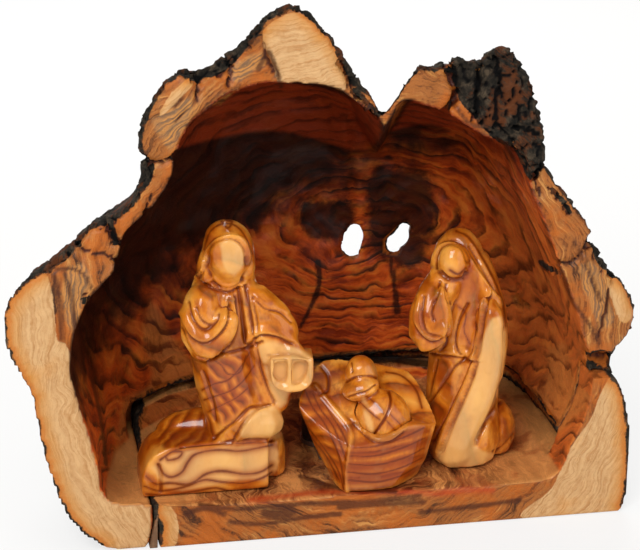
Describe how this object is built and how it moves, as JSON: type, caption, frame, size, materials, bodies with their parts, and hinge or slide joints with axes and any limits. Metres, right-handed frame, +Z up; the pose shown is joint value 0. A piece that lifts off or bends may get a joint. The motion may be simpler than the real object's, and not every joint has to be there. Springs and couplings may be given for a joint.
{
  "type": "nativity scene",
  "caption": "Hollowed log grotto on a log base with a carved kneeling man, woman, manger and infant, and a wind-up musical movement behind the manger.",
  "frame": {"origin": "on the table under the middle of the object's box", "axes": "+Z up, +Y away from the viewer, +X to the viewer's right; the open front faces -Y"},
  "size_m": [0.244, 0.124, 0.212],
  "materials": {
    "log_wood": "oiled heartwood, pale sapwood rim, dark bark outside",
    "base_wood": "sawn and lightly varnished sapwood with bark edge",
    "filler_wood": "dull brown wedge",
    "figure_wood": "polished and varnished olive wood with dark growth lines",
    "manger_wood": "polished and varnished olive wood, darker grain",
    "infant_wood": "polished and varnished pale olive wood",
    "movement_steel": "plain zinc-plated steel",
    "dark_steel": "dark grey spring can",
    "movement_brass": "drawn brass"
  },
  "bodies": {
    "log": {"grotto_shell": "log_wood", "base_log": "base_wood", "seam_wedge": "filler_wood", "kneeling_man": "figure_wood", "kneeling_woman": "figure_wood", "manger": "manger_wood", "infant": "infant_wood", "movement_plate": "movement_steel", "music_comb": "movement_steel", "comb_screw_1": "movement_steel", "comb_screw_2": "movement_steel", "spring_housing": "dark_steel", "movement_screw_1": "movement_steel", "movement_screw_2": "movement_steel", "movement_screw_3": "movement_steel", "movement_screw_4": "movement_steel", "governor_frame": "movement_brass"},
    "winder": {"winding_arbor": "movement_steel", "winding_key": "movement_brass"},
    "cylinder": {"pinned_cylinder": "movement_brass"},
    "governor": {"governor_wheel": "movement_brass"},
    "fly": {"governor_fly": "movement_steel"}
  },
  "joints": [
    {"name": "winding_turn", "type": "hinge", "parent": "log", "child": "winder", "pos_m": [0.0075, -0.008, 0.006], "axis": [0, 0, 1], "range_deg": [0, 1890]},
    {"name": "cylinder_spin", "type": "hinge", "parent": "log", "child": "cylinder", "pos_m": [0.027, -0.01, 0.0258], "axis": [1, 0, 0], "continuous": true},
    {"name": "governor_spin", "type": "hinge", "parent": "log", "child": "governor", "pos_m": [0.039, -0.0181, 0.0258], "axis": [1, 0, 0], "continuous": true},
    {"name": "fly_spin", "type": "hinge", "parent": "log", "child": "fly", "pos_m": [0.0407, -0.0245, 0.026], "axis": [0, 0, 1], "continuous": true}
  ],
  "couplings": [
    {"joint": "governor_spin", "follows": "cylinder_spin", "ratio": -4},
    {"joint": "fly_spin", "follows": "cylinder_spin", "ratio": -80}
  ]
}
